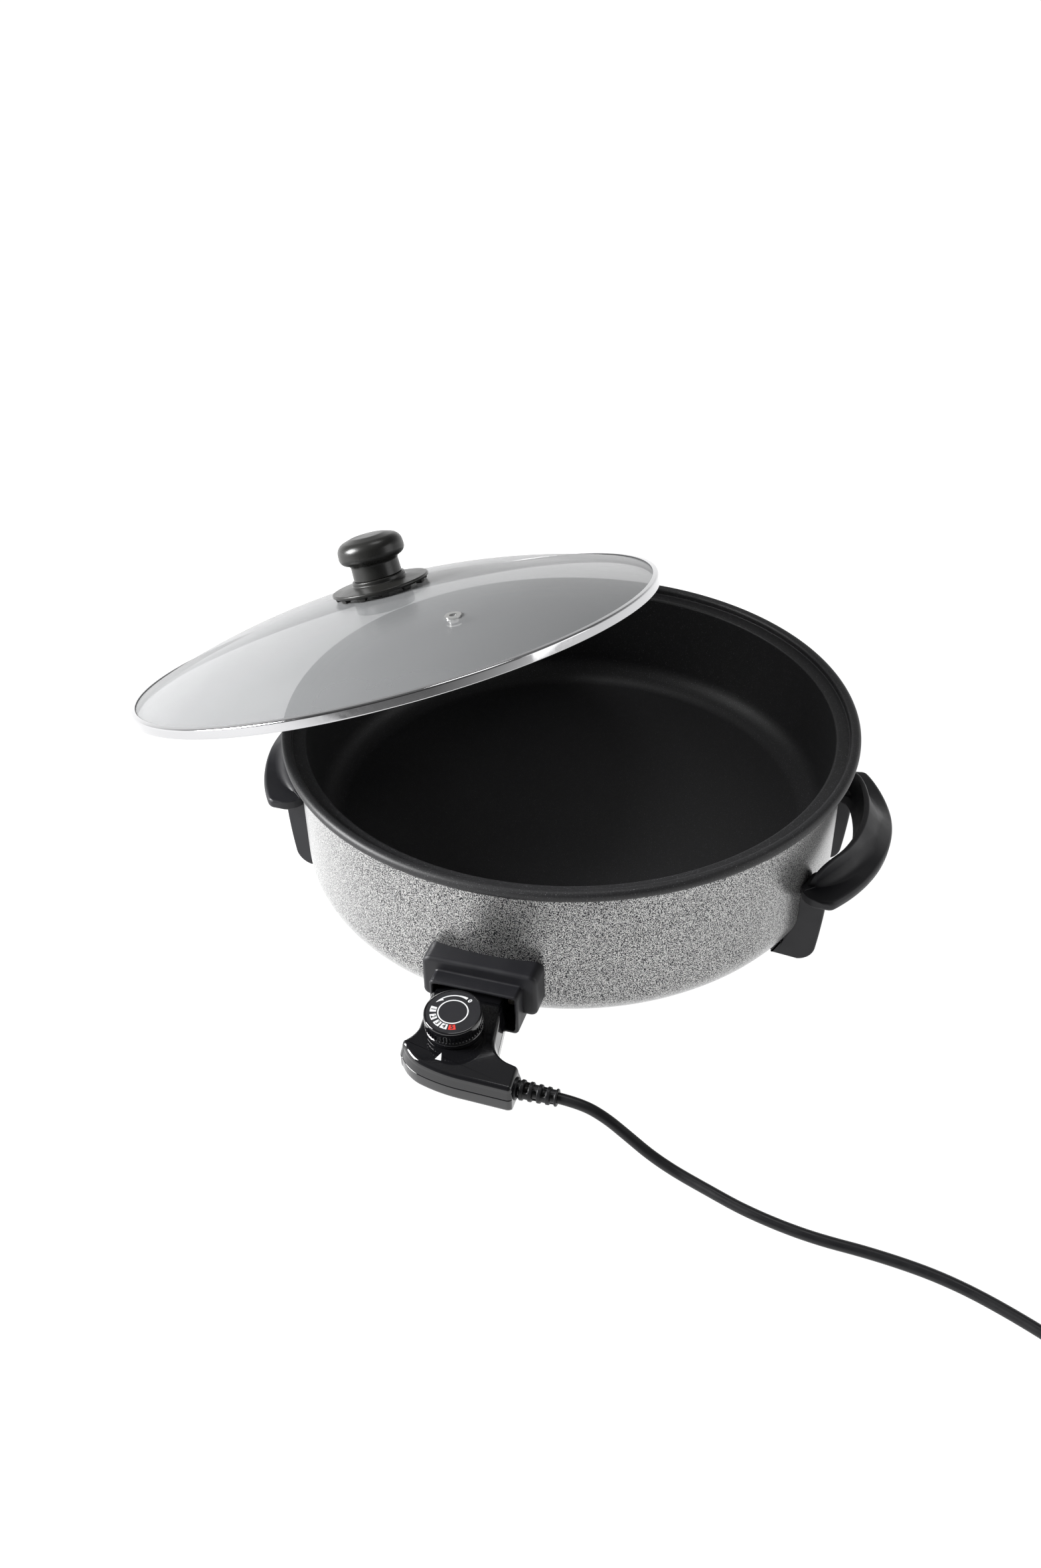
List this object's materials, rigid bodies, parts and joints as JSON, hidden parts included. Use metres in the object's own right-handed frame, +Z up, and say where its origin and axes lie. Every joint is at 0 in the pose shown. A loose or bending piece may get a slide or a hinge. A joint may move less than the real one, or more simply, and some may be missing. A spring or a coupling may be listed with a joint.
{
  "type": "electric skillet",
  "caption": "Round electric skillet on legs: coated pan in a grey jacket, black side grips, plug-in dial control with cord, and a loose domed glass lid with knob.",
  "frame": {"origin": "on the pan's axis at the table, under its feet", "axes": "+Z up along the pan's axis, the socket and control face -Y, the side grips are on +X and -X"},
  "size_m": [0.8156, 0.5609, 0.2411],
  "materials": {
    "pan_coating": "satin black non-stick coating",
    "jacket_paint": "hammered grey paint with fine dark speckles",
    "steel": "plain",
    "aluminium": "rolled",
    "black_plastic": "satin",
    "ceramic": "matt insulating moulding",
    "brass": "plain",
    "lid_glass": "clear tempered, slightly grey",
    "band_steel": "polished steel",
    "seal_rubber": "matt",
    "clear_plastic": "smoky translucent",
    "gloss_black": "gloss",
    "print_white": "black disc with printed figures",
    "cord_black": "satin"
  },
  "bodies": {
    "stand": {"inner_pan": "pan_coating", "outer_jacket": "jacket_paint", "base_plate": "steel", "heat_plate": "aluminium", "heating_element": "steel", "element_clamps": "steel", "centre_stud": "steel", "centre_nut": "steel", "socket_housing": "black_plastic", "socket_insulator": "ceramic", "terminal_pins": "brass", "earth_pin": "brass", "probe_sleeve": "steel", "socket_screws": "steel", "handle_left": "black_plastic", "handle_right": "black_plastic", "grip_screws": "steel", "leg_front_left": "black_plastic", "leg_front_right": "black_plastic", "leg_rear_left": "black_plastic", "leg_rear_right": "black_plastic", "foot_screws": "steel"},
    "lid": {"lid_glass": "lid_glass", "lid_rim": "band_steel", "lid_seal": "seal_rubber", "knob_base": "black_plastic", "lid_knob": "black_plastic", "knob_inner_cap": "clear_plastic", "knob_screw": "steel", "lid_vent": "band_steel"},
    "control": {"control_top": "gloss_black", "control_bottom": "gloss_black", "case_screws": "steel", "probe": "band_steel", "contact_sleeves": "brass", "earth_contact": "brass", "thermostat_base": "ceramic", "contact_arms": "brass", "strain_relief": "cord_black", "cord_lead": "cord_black", "cord_coil": "cord_black", "cord_tie": "cord_black", "cord_tail": "cord_black", "plug_body": "cord_black", "plug_pins": "band_steel", "plug_earth_clips": "brass"},
    "dial": {"dial_knob": "gloss_black", "dial_label": "print_white", "dial_spindle": "steel"}
  },
  "joints": [
    {"name": "lid_lift", "type": "slide", "parent": "stand", "child": "lid", "axis": [0, 0, 1], "range_m": [0, 0.15]},
    {"name": "control_pull", "type": "slide", "parent": "stand", "child": "control", "axis": [0, -1, 0], "range_m": [0, 0.08]},
    {"name": "dial_turn", "type": "hinge", "parent": "control", "child": "dial", "pos_m": [-0.003, -0.245, 0.0479], "axis": [0, -0.0958, 0.9954], "range_deg": [-20, 216]}
  ]
}
